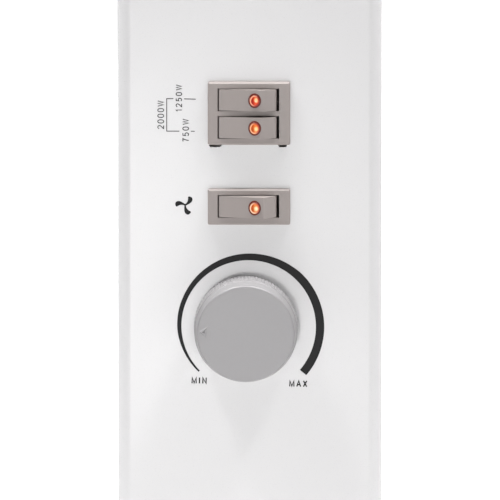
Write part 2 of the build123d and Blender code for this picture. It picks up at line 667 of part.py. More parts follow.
with BuildPart() as heat_lens_upper:
    lens_part(Z_HEAT + ROW_DZ, HEAT_RIDGE)
save(heat_lens_upper, "heat_lens_upper")
with BuildPart() as heat_lens_lower:
    lens_part(Z_HEAT - ROW_DZ, HEAT_RIDGE)
save(heat_lens_lower, "heat_lens_lower")
with BuildPart() as fan_lens:
    lens_part(Z_FAN, FAN_RIDGE)
save(fan_lens, "fan_lens")

with BuildPart() as heat_lamp_upper:
    lamp_part(Z_HEAT + ROW_DZ, HEAT_RIDGE)
save(heat_lamp_upper, "heat_lamp_upper")
with BuildPart() as heat_lamp_lower:
    lamp_part(Z_HEAT - ROW_DZ, HEAT_RIDGE)
save(heat_lamp_lower, "heat_lamp_lower")
with BuildPart() as fan_lamp:
    lamp_part(Z_FAN, FAN_RIDGE)
save(fan_lamp, "fan_lamp")

with BuildPart() as heat_switch_terminals:
    terminal_part(Z_HEAT, (ROW_DZ, -ROW_DZ))
save(heat_switch_terminals, "heat_switch_terminals")
with BuildPart() as fan_switch_terminals:
    terminal_part(Z_FAN, (0,))
save(fan_switch_terminals, "fan_switch_terminals")

# ---------------------------------------------------------------- fan unit
RING_R = 36.0
with BuildPart() as fan_shroud:
    with BuildSketch(Plane.XY.offset(FLOOR_TOP)):
        with Locations((FAN_X, FAN_Y)):
            Circle(RING_R + 2)
            with PolarLocations(43, 4, start_angle=45):
                Circle(4)
            with PolarLocations(39.5, 4, start_angle=45):
                Rectangle(7, 8)
            Circle(RING_R, mode=Mode.SUBTRACT)
            with PolarLocations(43, 4, start_angle=45):
                Circle(1.6, mode=Mode.SUBTRACT)
    extrude(amount=3)
    with BuildSketch(Plane.XY.offset(FLOOR_TOP + 3)):
        with Locations((FAN_X, FAN_Y)):
            Circle(RING_R + 2)
            Circle(RING_R, mode=Mode.SUBTRACT)
    extrude(amount=23)
    with BuildSketch(Plane.XY.offset(FLOOR_TOP + 23)):
        with Locations((FAN_X, FAN_Y)):
            Rectangle(54, 22)
            with PolarLocations(26, 4, start_angle=45):
                Rectangle(24, 5)
            Circle(RING_R + 1)
            Circle(RING_R - 1, mode=Mode.SUBTRACT)
            Circle(6, mode=Mode.SUBTRACT)
            with Locations((-21, 0), (21, 0)):
                Circle(1.8, mode=Mode.SUBTRACT)
    extrude(amount=3)
save(fan_shroud, "fan_shroud")
DECK = FLOOR_TOP + 26

with BuildPart() as fan_shroud_screws:
    with BuildSketch(Plane.XY.offset(FLOOR_TOP + 3)):
        with Locations((FAN_X, FAN_Y)):
            with PolarLocations(43, 4, start_angle=45):
                Circle(3)
    extrude(amount=1.6)
    with BuildSketch(Plane.XY.offset(FLOOR_Z - 0.2)):
        with Locations((FAN_X, FAN_Y)):
            with PolarLocations(43, 4, start_angle=45):
                Circle(1.45)
    extrude(amount=5)
save(fan_shroud_screws, "fan_shroud_screws")


def bearing_plate(z, up):
    """Strap with a sleeve bearing and two standing ears."""
    with BuildSketch(Plane.XY.offset(z)) as sk:
        with Locations((FAN_X, FAN_Y)):
            SlotOverall(54, 12)
            Circle(1.65, mode=Mode.SUBTRACT)
            with Locations((-21, 0), (21, 0)):
                Circle(1.8, mode=Mode.SUBTRACT)
    extrude(sk.sketch, amount=1.2)
    with BuildSketch(Plane.XY.offset(z + (1.2 if up else -4.0))) as sk:
        with Locations((FAN_X, FAN_Y)):
            Circle(4.5)
            Circle(1.65, mode=Mode.SUBTRACT)
    extrude(sk.sketch, amount=4.0)


STATOR_Z = DECK + 9.0
STATOR_H = 15.0
UPPER_Z = STATOR_Z + STATOR_H + 7.8
with BuildPart() as motor_bearing_lower:
    bearing_plate(DECK, True)
save(motor_bearing_lower, "motor_bearing_lower")
with BuildPart() as motor_bearing_upper:
    bearing_plate(UPPER_Z, False)
save(motor_bearing_upper, "motor_bearing_upper")

with BuildPart() as motor_stator:
    with BuildSketch(Plane.XY.offset(STATOR_Z)):
        with Locations((FAN_X, FAN_Y)):
            Rectangle(50, 34)
            with Locations((0, 21.5)):
                Rectangle(50, 23)
            with Locations((0, 21.5)):
                Rectangle(32, 8, mode=Mode.SUBTRACT)
            Circle(11.4, mode=Mode.SUBTRACT)
            with Locations((-21, 0), (21, 0)):
                Circle(1.8, mode=Mode.SUBTRACT)
    extrude(amount=STATOR_H)
save(motor_stator, "motor_stator")
with BuildPart() as motor_coil:
    with BuildSketch(Plane.YZ.offset(FAN_X - 14)):
        with Locations((FAN_Y + 29.25, STATOR_Z + STATOR_H / 2)):
            RectangleRounded(7.5 + 7, STATOR_H + 8, 3)
            Rectangle(7.6, STATOR_H + 0.1, mode=Mode.SUBTRACT)
    extrude(amount=28)
save(motor_coil, "motor_coil")
with BuildPart() as motor_screws:
    with BuildSketch(Plane.XY.offset(DECK - 8.0)):
        with Locations((FAN_X - 21, FAN_Y), (FAN_X + 21, FAN_Y)):
            Circle(1.7)
    extrude(amount=UPPER_Z + 1.2 - DECK + 8.0)
    with BuildSketch(Plane.XY.offset(UPPER_Z + 1.2)):
        with Locations((FAN_X - 21, FAN_Y), (FAN_X + 21, FAN_Y)):
            Circle(3)
    extrude(amount=2)
    # spacers between straps and stator
    for z0, h in ((DECK + 1.2, STATOR_Z - DECK - 1.2), (STATOR_Z + STATOR_H, UPPER_Z - STATOR_Z - STATOR_H)):
        with BuildSketch(Plane.XY.offset(z0)):
            with Locations((FAN_X - 21, FAN_Y), (FAN_X + 21, FAN_Y)):
                Circle(3)
        extrude(amount=h)
    with BuildSketch(Plane.XY.offset(DECK - 5.4)):
        with Locations((FAN_X - 21, FAN_Y), (FAN_X + 21, FAN_Y)):
            RegularPolygon(3.2, 6)
    extrude(amount=2.4)
save(motor_screws, "motor_screws")

with BuildPart() as motor_rotor:
    with BuildSketch(Plane.XY.offset(STATOR_Z)):
        with Locations((FAN_X, FAN_Y)):
            Circle(11.05)
            Circle(1.6, mode=Mode.SUBTRACT)
    extrude(amount=STATOR_H)
save(motor_rotor, "motor_rotor")
with BuildPart() as motor_shaft:
    with BuildSketch(Plane.XY.offset(FLOOR_TOP + 3.5)):
        with Locations((FAN_X, FAN_Y)):
            Circle(1.6)
    extrude(amount=UPPER_Z + 3 - FLOOR_TOP - 3.5)
save(motor_shaft, "motor_shaft")

IMP_Z = FLOOR_TOP + 4.5
with BuildPart() as fan_impeller:
    with BuildSketch(Plane.XY.offset(IMP_Z)):
        with Locations((FAN_X, FAN_Y)):
            Circle(10)
    extrude(amount=14)
    fillet(fan_impeller.faces().sort_by(Axis.Z)[0].edges(), 2)
    for k in range(6):
        with Locations(Location((FAN_X, FAN_Y, IMP_Z + 7), (0, 0, 60 * k))):
            with Locations(Location((21, 0, 0), (32, 0, 0))):
                Box(25, 17, 1.5)
    with BuildSketch(Plane.XY.offset(IMP_Z - 1)):
        with Locations((FAN_X, FAN_Y)):
            Circle(1.6)
    extrude(amount=20, mode=Mode.SUBTRACT)
save(fan_impeller, "fan_impeller")


# ---------------------------------------------------------------- feet
def foot(xc):
    with BuildSketch(Plane.YZ.offset(xc)) as sk:
        with BuildLine():
            Polyline((-100, 3), (-100, 9), (-68, 27), (-52.4, 31.5), (-52.4, 40), (52.4, 40), (52.4, 31.5), (68, 27), (100, 9),
                     (100, 3), (70, 3), (56, 12), (-56, 12), (-70, 3), close=True)
        make_face()
    extrude(sk.sketch, amount=FOOT_W / 2, both=True)
    here = BuildPart._get_context()
    long_edges = here.edges().filter_by_position(Axis.Z, 8.9, 9.1).filter_by(Axis.X)
    fillet(long_edges, 4)
    fillet(here.faces().sort_by(Axis.X)[-1].edges().filter_by_position(Axis.Z, 5, 39.5), 1.5)
    fillet(here.faces().sort_by(Axis.X)[0].edges().filter_by_position(Axis.Z, 5, 39.5), 1.5)
    with BuildSketch(Plane.YZ.offset(xc)) as sk:
        with BuildLine():
            Polyline((-50, 7), (-50, 30), (-47, 36), (47, 36), (50, 30), (50, 7), close=True)
        make_face()
    extrude(sk.sketch, amount=FOOT_W / 2 - 3, both=True, mode=Mode.SUBTRACT)
    with Locations((xc, -88, 3), (xc, 88, 3)):
        Cylinder(8.3, 3.0, mode=Mode.SUBTRACT)
    with Locations((xc, -38, 38), (xc, 38, 38)):
        Cylinder(2.1, 8, mode=Mode.SUBTRACT)


with BuildPart() as right_foot:
    foot(XC + FOOT_DX)
save(right_foot, "right_foot")
with BuildPart() as left_foot:
    foot(XC - FOOT_DX)
save(left_foot, "left_foot")
with BuildPart() as foot_pads:
    with BuildSketch(Plane.XY):
        with Locations(*[(XC + sx * FOOT_DX, sy * 88) for sx in (-1, 1) for sy in (-1, 1)]):
            Circle(8)
    extrude(amount=4.5)
    chamfer(foot_pads.edges().group_by(Axis.Z)[0], 0.6)
save(foot_pads, "foot_pads")
with BuildPart() as foot_screws:
    spots = [(XC + sx * FOOT_DX, sy * 38) for sx in (-1, 1) for sy in (-1, 1)]
    with BuildSketch(Plane.XY.offset(34.0)):
        with Locations(*spots):
            Circle(3.8)
            Rectangle(5, 1, mode=Mode.SUBTRACT)
    extrude(amount=2.0)
    with BuildSketch(Plane.XY.offset(35.9)):
        with Locations(*spots):
            Circle(1.95)
    extrude(amount=9.5)
save(foot_screws, "foot_screws")


# ---------------------------------------------------------------- outer screws
def rear_screw(x, z, y_face, shank_r, length):
    with Locations(Location((x, y_face, z), (-90, 0, 0))):
        with Locations((0, 0, 0.8)):
            Cylinder(3.4, 1.6)
        with Locations((0, 0, 1.3)):
            Box(4.2, 0.9, 0.8, mode=Mode.SUBTRACT)
            Box(0.9, 4.2, 0.8, mode=Mode.SUBTRACT)
        with Locations((0, 0, -length / 2)):
            Cylinder(shank_r, length)


REAR_FACE = CAP_HALF - CASE_IN
with BuildPart() as rear_screws:
    for dx in (-150, 0, 150):
        rear_screw(XC + dx, 357, REAR_FACE, 1.45, 7)
save(rear_screws, "rear_screws")
with BuildPart() as end_cap_screws:
    for x in (CASE_X1 - 5, CASE_X0 + 5):
        for z in (100, 330):
            rear_screw(x, z, REAR_FACE, 1.55, 9)
save(end_cap_screws, "end_cap_screws")

# ---------------------------------------------------------------- mains entry
TBX = BULK_X1 + SHEET
with BuildPart() as terminal_block:
    with Locations((TBX + 7, 22, 70)):
        Box(14, 18, 34)
    for dz in (-11, 0, 11):
        with Locations(Location((TBX + 7, 22, 70 + dz), (90, 0, 0))):
            Cylinder(2.2, 20, mode=Mode.SUBTRACT)
    with BuildSketch(Plane.YZ.offset(TBX + 15)):
        with Locations((22, 62), (22, 78)):
            Circle(1.45)
    extrude(amount=-16, mode=Mode.SUBTRACT)
save(terminal_block, "terminal_block")
with BuildPart() as bulkhead_screws:
    # terminal block pair
    with BuildSketch(Plane.YZ.offset(TBX + 14)):
        with Locations((22, 62), (22, 78)):
            Circle(2.4)
            Rectangle(3.2, 0.7, mode=Mode.SUBTRACT)
    extrude(amount=1.5)
    with BuildSketch(Plane.YZ.offset(TBX - 3)):
        with Locations((22, 62), (22, 78)):
            Circle(1.3)
    extrude(amount=17)
    # thermal cut-out pair
    with BuildSketch(Plane.YZ.offset(BULK_X1 - 3)):
        with Locations((-10.5, CUTOUT_Z), (10.5, CUTOUT_Z)):
            Circle(1.3)
    extrude(amount=3 + SHEET + 1.0)
    with BuildSketch(Plane.YZ.offset(BULK_X1 + SHEET + 1.0)):
        with Locations((-10.5, CUTOUT_Z), (10.5, CUTOUT_Z)):
            Circle(2.4)
            Rectangle(3.2, 0.7, mode=Mode.SUBTRACT)
    extrude(amount=1.5)
    # cord clamp pair
    with BuildSketch(Plane.YZ.offset(TBX + 7)):
        with Locations((-8, 57), (-8, 75)):
            Circle(2.4)
            Rectangle(3.2, 0.7, mode=Mode.SUBTRACT)
    extrude(amount=1.5)
    with BuildSketch(Plane.YZ.offset(TBX - 3)):
        with Locations((-8, 57), (-8, 75)):
            Circle(1.3)
    extrude(amount=10)
save(bulkhead_screws, "bulkhead_screws")

with BuildPart() as cord_bush:
    with Locations(Location((XR - 16, 0, 75), (-90, 0, 0))):
        with Locations((0, 0, CAP_HALF + 1.0)):
            Cylinder(8.2, 2.0)
        with Locations((0, 0, CAP_HALF - 4)):
            Cylinder(5.95, 8)
        with Locations((0, 0, CAP_HALF - CAP_WALL - 1.25)):
            Cylinder(7.2, 2.5)
        with Locations((0, 0, CAP_HALF - 3)):
            Cylinder(3.8, 20, mode=Mode.SUBTRACT)
save(cord_bush, "cord_bush")
with BuildPart() as cord_clamp:
    with BuildSketch(Plane.YZ.offset(TBX)):
        with Locations((-8, 66)):
            RectangleRounded(10, 26, 2)
            with Locations((0, -9), (0, 9)):
                Circle(1.5, mode=Mode.SUBTRACT)
    extrude(amount=5)
    with Locations((TBX + 2.5, -8, 66)):
        Box(12, 12, 8, mode=Mode.SUBTRACT)
    with BuildSketch(Plane.YZ.offset(TBX + 5)):
        with Locations((-8, 66)):
            RectangleRounded(10, 26, 2)
            with Locations((0, -9), (0, 9)):
                Circle(1.5, mode=Mode.SUBTRACT)
    extrude(amount=2)
save(cord_clamp, "cord_clamp")

# ---------------------------------------------------------------- wiring
HX = XR - HOUSING_DEPTH - 10.6
WIRE_R = 1.2
BEND = 4.0
# each run: corner points, straight between them, with a tangent bend at every inner corner
routes = [
    # switched heat feeds down to the boards, through the outer holes of the bulkhead
    [(HX, Y_SW + 9, Z_HEAT + ROW_DZ), (XR - 47, Y_SW + 9, Z_HEAT + ROW_DZ), (XR - 47, 33, 255), (XR - 47, 33, 116), (XR - 49, 26.5, 100.5), (XR - 62.5, 25.5, 99.5), (XR - 67, 15.5, 112)],
    [(HX, Y_SW + 9, Z_HEAT - ROW_DZ), (XR - 40.5, Y_SW + 9, Z_HEAT - ROW_DZ), (XR - 47, -31, 245), (XR - 47, -32, 116), (XR - 49, -26.5, 100.5), (XR - 62.5, -25.5, 99.5), (XR - 67, -15.5, 112)],
    # fan feed
    [(HX, Y_SW + 9, Z_FAN), (XR - 41.5, Y_SW + 9, Z_FAN), (XR - 43.5, 27, 214), (XR - 43.5, 27, 108), (XR - 47.5, 23.3, 97), (XR - 60.5, 22.9, 96.6), (XR - 65.5, 22.0, 90)],
    # thermostat to the supply block
    [(TX - 9.4, Y_KNOB, 132.0), (TX - 10, Y_KNOB + 1, 114), (XR - 35.5, 13, 97), (XR - 42, 21, 88.2)],
]
with BuildPart() as internal_wires:
    for pts in routes:
        with BuildLine() as run:
            FilletPolyline(*pts, radius=[BEND] * (len(pts) - 2))
        with BuildSketch(run.line ^ 0):
            Circle(WIRE_R)
        sweep(path=run.line)
save(internal_wires, "internal_wires")
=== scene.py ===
import bpy
import bmesh
import json
import math
from mathutils import Vector, Matrix
from mathutils.geometry import tessellate_polygon


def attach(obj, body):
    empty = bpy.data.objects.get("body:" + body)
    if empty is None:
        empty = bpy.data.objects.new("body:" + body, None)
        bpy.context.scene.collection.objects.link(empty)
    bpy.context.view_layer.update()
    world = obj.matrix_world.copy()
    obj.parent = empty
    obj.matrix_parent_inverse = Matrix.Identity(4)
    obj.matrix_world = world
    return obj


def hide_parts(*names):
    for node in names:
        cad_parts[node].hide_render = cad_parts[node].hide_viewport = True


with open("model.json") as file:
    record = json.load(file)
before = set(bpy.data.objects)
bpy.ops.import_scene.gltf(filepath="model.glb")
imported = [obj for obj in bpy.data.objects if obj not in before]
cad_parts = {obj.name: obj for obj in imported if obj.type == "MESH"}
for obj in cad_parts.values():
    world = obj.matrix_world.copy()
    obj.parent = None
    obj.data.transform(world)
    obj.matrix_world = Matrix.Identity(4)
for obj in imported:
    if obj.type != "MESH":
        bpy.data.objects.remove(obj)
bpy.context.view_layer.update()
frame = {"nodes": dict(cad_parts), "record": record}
NODES = frame["nodes"]

MM = 0.001
XR = (520.0 - 18.3) / 2  # control end face, mm
Y_KNOB, Z_KNOB = -1.5, 190.0
Z_HEAT, Z_FAN, ROW = 276.3, 238.9, 5.55
Y_SW = -0.55
PIVOT_X = XR + 2.0 - 3.5
R_LEFT, PIVOT_IN, RIDGE_Y = 12.15, 3.5, 6.05
HEAT_RIDGE, FAN_RIDGE = 2.7, 5.0
LENS_Y, LENS_RY, LENS_RZ = 2.5, 2.55, 2.95
PX = 2.51                # photo pixels per mm on the end face
SKY_LOW, SKY_HIGH, KEY_L, KEY_R, TOP, BACK, LOW, SIDE = 0.01, 0.615, 7.5, 8.8, 40.0, 9.8, 5.6, 0.34
RIM_L, RIM_R = 88.0, 88.0
EL = math.radians(9.5)
AZ = math.radians(90.25)


def py(px):
    """photo column to row-frame Y, mm"""
    return (px - 249.75) / PX


def pz(row):
    """photo row to row-frame Z, mm"""
    return Z_KNOB + (326.7 - row) / (PX * math.cos(EL))


# ------------------------------------------------------------------ node helpers
class Mat:
    """Small wrapper that builds one procedural material."""

    def __init__(self, name):
        self.m = bpy.data.materials.new(name)
        self.m.use_nodes = True
        self.nt = self.m.node_tree
        self.nt.nodes.clear()
        self.out = self.nt.nodes.new("ShaderNodeOutputMaterial")
        self.b = self.nt.nodes.new("ShaderNodeBsdfPrincipled")
        self.nt.links.new(self.b.outputs[0], self.out.inputs[0])
        self.tc = self.nt.nodes.new("ShaderNodeTexCoord")

    def node(self, kind, **kw):
        n = self.nt.nodes.new(kind)
        for k, v in kw.items():
            setattr(n, k, v)
        return n

    def link(self, a, b):
        self.nt.links.new(a, b)

    def noise(self, scale, detail=2.0, rough=0.5, stretch=None):
        n = self.node("ShaderNodeTexNoise")
        n.inputs["Scale"].default_value = scale
        n.inputs["Detail"].default_value = detail
        n.inputs["Roughness"].default_value = rough
        src = self.tc.outputs["Object"]
        if stretch:
            mp = self.node("ShaderNodeMapping")
            mp.inputs["Scale"].default_value = stretch
            self.link(src, mp.inputs["Vector"])
            src = mp.outputs[0]
        self.link(src, n.inputs["Vector"])
        return n.outputs["Fac"]

    def ramp(self, fac, stops, interp="LINEAR"):
        r = self.node("ShaderNodeValToRGB")
        r.color_ramp.interpolation = interp
        el = r.color_ramp.elements
        while len(el) > 1:
            el.remove(el[-1])
        el[0].position, el[0].color = stops[0][0], (*stops[0][1], 1)
        for p, c in stops[1:]:
            e = el.new(p)
            e.color = (*c, 1)
        self.link(fac, r.inputs["Fac"])
        return r.outputs["Color"]

    def maprange(self, val, a, b, c, d, smooth=False):
        n = self.node("ShaderNodeMapRange")
        if smooth:
            n.interpolation_type = "SMOOTHSTEP"
        n.inputs["From Min"].default_value = a
        n.inputs["From Max"].default_value = b
        n.inputs["To Min"].default_value = c
        n.inputs["To Max"].default_value = d
        self.link(val, n.inputs["Value"])
        return n.outputs["Result"]

    def math(self, op, a, b=None):
        n = self.node("ShaderNodeMath", operation=op)
        for i, v in enumerate((a, b)):
            if v is None:
                continue
            if isinstance(v, (int, float)):
                n.inputs[i].default_value = v
            else:
                self.link(v, n.inputs[i])
        return n.outputs[0]

    def mix(self, fac, a, b, blend="MIX"):
        n = self.node("ShaderNodeMix", data_type="RGBA", blend_type=blend)
        for sock, v in ((n.inputs[0], fac), (n.inputs[6], a), (n.inputs[7], b)):
            if isinstance(v, (int, float)):
                sock.default_value = v
            elif isinstance(v, tuple):
                sock.default_value = (*v, 1)
            else:
                self.link(v, sock)
        return n.outputs[2]

    def bump(self, height, strength, dist, normal=None):
        n = self.node("ShaderNodeBump")
        n.inputs["Strength"].default_value = strength
        n.inputs["Distance"].default_value = dist
        self.link(height, n.inputs["Height"])
        if normal is not None:
            self.link(normal, n.inputs["Normal"])
        return n.outputs["Normal"]

    def set(self, **kw):
        for k, v in kw.items():
            s = self.b.inputs[k.replace("_", " ")]
            if isinstance(v, (int, float)):
                s.default_value = v
            elif isinstance(v, tuple):
                s.default_value = (*v, 1) if len(v) == 3 and len(s.default_value) == 4 else v
            else:
                self.link(v, s)
        return self


def shade(c, k):
    return tuple(min(1.0, x * k) for x in c)


def moulded(name, col, rough=0.42, grain=1500.0, grain_mm=0.006, var=0.03, spec=0.45, coat=0.0):
    """Moulded plastic: slight tone drift, fine spark texture in the bump and the roughness."""
    m = Mat(name)
    drift = m.noise(14, 3, 0.6)
    fine = m.noise(grain, 2, 0.6)
    c = m.mix(drift, shade(col, 1 - var), shade(col, 1 + var))
    c = m.mix(m.maprange(fine, 0.3, 0.7, 0.0, 0.10), c, shade(col, 0.86))
    m.set(Base_Color=c, Roughness=m.maprange(fine, 0.25, 0.75, rough - 0.05, rough + 0.06),
          Normal=m.bump(fine, 0.35, grain_mm * MM))
    m.b.inputs["Specular IOR Level"].default_value = spec
    if coat:
        m.b.inputs["Coat Weight"].default_value = coat
        m.b.inputs["Coat Roughness"].default_value = 0.12
    return m


def painted(name, col, rough=0.33, peel=340.0, peel_mm=0.012, var=0.012, spec=0.5):
    """Powder coat: broad tone drift and a soft orange-peel surface."""
    m = Mat(name)
    drift = m.noise(6, 2, 0.5)
    peeln = m.noise(peel, 2, 0.45)
    fine = m.noise(2200, 1, 0.5)
    c = m.mix(drift, shade(col, 1 - var), shade(col, 1 + var))
    n1 = m.bump(peeln, 0.25, peel_mm * MM)
    m.set(Base_Color=c, Roughness=m.maprange(fine, 0.3, 0.7, rough - 0.03, rough + 0.04), Normal=n1)
    m.b.inputs["Specular IOR Level"].default_value = spec
    return m


def metal(name, col, rough=0.32, stretch=(1, 14, 14), scale=120.0, var=0.12):
    """Rolled or plated metal with directional grain."""
    m = Mat(name)
    g = m.noise(scale, 4, 0.6, stretch)
    blot = m.noise(30, 3, 0.6)
    c = m.mix(blot, shade(col, 1 - var), shade(col, 1 + var))
    m.set(Base_Color=c, Roughness=m.maprange(g, 0.3, 0.7, rough - 0.08, rough + 0.12), Normal=m.bump(g, 0.2, 0.01 * MM))
    m.b.inputs["Metallic"].default_value = 1.0
    return m


PANEL_WHITE = (0.588, 0.581, 0.586)
TAUPE = (0.290, 0.256, 0.244)
KNOB_GREY = (0.262, 0.254, 0.259)

MATS = {}


def make_materials():
    MATS["case_steel"] = painted("case_powder_coat", PANEL_WHITE, 0.36)
    MATS["cap_plastic"] = painted("cap_moulded_white", PANEL_WHITE, 0.30, 260.0, 0.006)
    MATS["grille_plastic"] = moulded("grille_black", (0.030, 0.030, 0.032), 0.48)
    MATS["foot_plastic"] = moulded("foot_black", (0.034, 0.034, 0.036), 0.5, 900.0, 0.02)
    MATS["pad_rubber"] = moulded("pad_rubber", (0.022, 0.022, 0.022), 0.8, 700.0, 0.03)
    MATS["galvanised"] = metal("zinc_sheet", (0.56, 0.57, 0.58), 0.38)
    MATS["screw_steel"] = metal("screw_zinc", (0.60, 0.60, 0.61), 0.28)
    m = Mat("mica_board")
    flake = m.node("ShaderNodeTexVoronoi")
    flake.inputs["Scale"].default_value = 260
    m.link(m.tc.outputs["Object"], flake.inputs["Vector"])
    c = m.mix(flake.outputs["Color"], (0.50, 0.42, 0.28), (0.64, 0.56, 0.40))
    m.set(Base_Color=c, Roughness=m.maprange(flake.outputs["Distance"], 0, 0.6, 0.35, 0.6))
    MATS["mica"] = m
    MATS["heating_alloy"] = metal("resistance_alloy", (0.34, 0.31, 0.29), 0.4)
    MATS["knob_plastic"] = moulded("knob_satin_grey", KNOB_GREY, 0.38, 1300.0, 0.008, 0.02, 0.5)
    MATS["switch_plastic"] = moulded("switch_satin_taupe", TAUPE, 0.46, 1500.0, 0.006, 0.02, 0.35)
    MATS["contact_brass"] = metal("contact_brass", (0.72, 0.54, 0.26), 0.3)
    MATS["ceramic_white"] = moulded("steatite", (0.76, 0.74, 0.70), 0.6)
    MATS["bimetal_alloy"] = metal("bimetal", (0.60, 0.55, 0.47), 0.3)
    m = Mat("laminations")
    w = m.node("ShaderNodeTexWave", wave_type="BANDS", bands_direction="Z")
    w.inputs["Scale"].default_value = 320
    w.inputs["Distortion"].default_value = 0.4
    m.link(m.tc.outputs["Object"], w.inputs["Vector"])
    m.set(Base_Color=m.mix(w.outputs["Fac"], (0.16, 0.17, 0.19), (0.34, 0.35, 0.37)), Roughness=0.45,
          Normal=m.bump(w.outputs["Fac"], 0.5, 0.05 * MM))
    m.b.inputs["Metallic"].default_value = 0.9
    MATS["laminated_steel"] = m
    MATS["coil_copper"] = moulded("coil_tape", (0.36, 0.11, 0.05), 0.5)
    MATS["impeller_plastic"] = moulded("impeller_black", (0.05, 0.05, 0.052), 0.45)
    MATS["shroud_plastic"] = moulded("shroud_black", (0.06, 0.06, 0.06), 0.5)
    MATS["block_plastic"] = moulded("natural_nylon", (0.74, 0.72, 0.66), 0.5)
    MATS["bush_plastic"] = moulded("bush_black", (0.035, 0.035, 0.035), 0.5)
    MATS["wire_sleeve"] = moulded("glass_sleeve", (0.62, 0.58, 0.50), 0.7, 600.0, 0.05)
    m = Mat("lamp_glass_neon")
    glow = m.noise(900, 2, 0.5)
    m.set(Base_Color=m.mix(glow, (0.9, 0.35, 0.1), (1.0, 0.6, 0.25)), Roughness=0.1,
          Emission_Color=m.mix(glow, (1.0, 0.28, 0.05), (1.0, 0.5, 0.12)))
    m.b.inputs["Emission Strength"].default_value = 3.0
    MATS["lamp_glass"] = m


make_materials()
slots = {s["node"]: s["material_slot"] for s in frame["record"]["subparts"]}
for name, ob in NODES.items():
    key = slots.get(name)
    if key in MATS:
        ob.data.materials.clear()
        ob.data.materials.append(MATS[key].m)


# ------------------------------------------------------------------ mesh helpers
def new_object(name, verts, faces, mat, body, smooth=False, origin=(0, 0, 0)):
    o3 = Vector(origin)
    me = bpy.data.meshes.new(name)
    me.from_pydata([tuple((Vector(v) - o3) * MM) for v in verts], [], faces)
    me.validate()
    bm = bmesh.new()
    bm.from_mesh(me)
    bmesh.ops.recalc_face_normals(bm, faces=bm.faces)
    bm.to_mesh(me)
    bm.free()
    if smooth:
        for p in me.polygons:
            p.use_smooth = True
    me.materials.append(mat)
    ob = bpy.data.objects.new(name, me)
    ob.location = o3 * MM
    bpy.context.scene.collection.objects.link(ob)
    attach(ob, body)
    return ob


def ribbon(points, widths, x0, x1, closed=False):
    """Closed raised strip along a line drawn in the end face's plane (y, z)."""
    n = len(points)
    if isinstance(widths, (int, float)):
        widths = [widths] * n
    verts, faces = [], []
    for i, (y, z) in enumerate(points):
        if closed:
            a, b = points[i - 1], points[(i + 1) % n]
        else:
            a, b = points[max(i - 1, 0)], points[min(i + 1, n - 1)]
        p = Vector((y, z))
        d0 = (p - Vector(a))
        d1 = (Vector(b) - p)
        if d0.length < 1e-9:
            d0 = d1
        if d1.length < 1e-9:
            d1 = d0
        d0.normalize()
        d1.normalize()
        n0, n1 = Vector((-d0.y, d0.x)), Vector((-d1.y, d1.x))
        m = n0 + n1
        if m.length < 1e-6:
            m = n0
        m.normalize()
        k = min(1.0 / max(m.dot(n0), 0.35), 2.2)
        h = widths[i] / 2 * k
        for x in (x1, x0):
            verts.append((x, y + m.x * h, z + m.y * h))
            verts.append((x, y - m.x * h, z - m.y * h))
    steps = n if closed else n - 1
    for i in range(steps):
        a, b = 4 * i, 4 * ((i + 1) % n)
        faces += [(a, a + 1, b + 1, b), (a + 3, a + 2, b + 2, b + 3), (a + 2, a, b, b + 2), (a + 1, a + 3, b + 3, b + 1)]
    if not closed:
        e = 4 * (n - 1)
        faces += [(0, 2, 3, 1), (e, e + 1, e + 3, e + 2)]
    return verts, faces


def prism(loop, x0, x1):
    """Closed raised shape from one outline in the end face's plane."""
    n = len(loop)
    verts = [(x1, y, z) for y, z in loop] + [(x0, y, z) for y, z in loop]
    tri = tessellate_polygon([[Vector((y, z, 0)) for y, z in loop]])
    faces = [tuple(t) for t in tri] + [tuple(i + n for i in reversed(t)) for t in tri]
    faces += [(i, (i + 1) % n, (i + 1) % n + n, i + n) for i in range(n)]
    return verts, faces


def join(parts):
    verts, faces = [], []
    for v, f in parts:
        o = len(verts)
        verts += v
        faces += [tuple(i + o for i in q) for q in f]
    return verts, faces


# ------------------------------------------------------------------ printed marks on the control end
INK_X0, INK_X1 = XR - 0.04, XR + 0.03
ink = Mat("printed_ink")
speck = ink.noise(2600, 2, 0.6)
ink.set(Base_Color=ink.mix(speck, (0.006, 0.0055, 0.006), (0.012, 0.011, 0.012)),
        Roughness=ink.maprange(speck, 0.3, 0.7, 0.42, 0.58), Normal=ink.bump(speck, 0.3, 0.004 * MM))
ink.b.inputs["Specular IOR Level"].default_value = 0.2
ink_thin = Mat("printed_ink_thin")
speck = ink_thin.noise(2600, 2, 0.6)
ink_thin.set(Base_Color=ink_thin.mix(speck, (0.016, 0.015, 0.016), (0.030, 0.029, 0.030)),
             Roughness=ink_thin.maprange(speck, 0.3, 0.7, 0.42, 0.58), Normal=ink_thin.bump(speck, 0.3, 0.004 * MM))


def lerp_table(table, t):
    for (a, va), (b, vb) in zip(table, table[1:]):
        if a <= t <= b:
            return va + (vb - va) * (t - a) / (b - a)
    return table[-1][1] if t > table[-1][0] else table[0][1]


# dial arc that grows from the cool end to the hot end
WIDTH_PX = [(-42, 8.4), (45, 8.3), (55, 7.8), (70, 7.3), (90, 6.8), (110, 6.3), (130, 5.6), (150, 4.9), (170, 4.5),
            (185, 4.0), (195, 3.3), (205, 2.6), (220, 1.9), (223, 1.7)]
INNER_PX = [(-42, 67.6), (90, 67.5), (140, 67.3), (180, 67.0), (205, 66.4), (223, 65.9)]
arc_pts, arc_w = [], []
CY, CZ = py(248.35), pz(326.8)
for i in range(241):
    ang = -40.3 + (222.6 + 40.3) * i / 240
    w = lerp_table(WIDTH_PX, ang) / PX
    r = lerp_table(INNER_PX, ang) / PX + w / 2
    t = math.radians(ang)
    arc_pts.append((CY + r * math.cos(t), CZ + r * math.sin(t)))
    arc_w.append(w)
v, f = ribbon(arc_pts, arc_w, INK_X0, INK_X1)
new_object("mark_dial_arc", v, f, ink.m, "heater")


